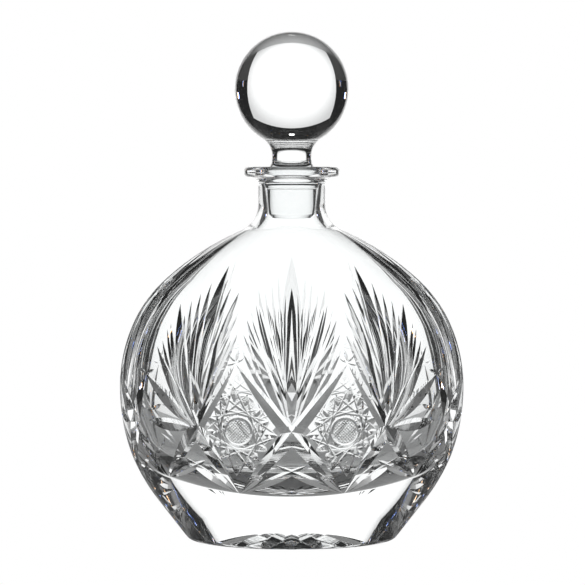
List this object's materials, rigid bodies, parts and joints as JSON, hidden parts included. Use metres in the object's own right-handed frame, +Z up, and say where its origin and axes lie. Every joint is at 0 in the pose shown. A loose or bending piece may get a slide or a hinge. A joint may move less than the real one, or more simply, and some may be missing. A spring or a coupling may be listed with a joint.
{
  "type": "whisky decanter",
  "caption": "Flattened round cut-crystal decanter with a heavy base, flanged neck and lift-off ball stopper, for holding and pouring spirits.",
  "frame": {"origin": "on the table, under the middle of the foot and the neck's axis", "axes": "+Z up along the neck, the wide faces towards -Y and +Y, the narrow sides towards -X and +X"},
  "size_m": [0.1686, 0.0964, 0.2485],
  "materials": {
    "lead_crystal": "polished clear lead crystal"
  },
  "bodies": {
    "decanter": {"decanter_body": "lead_crystal"},
    "stopper": {"stopper": "lead_crystal"}
  },
  "joints": [
    {"name": "stopper_lift", "type": "slide", "parent": "decanter", "child": "stopper", "axis": [0, 0, 1], "range_m": [0, 0.06]}
  ]
}
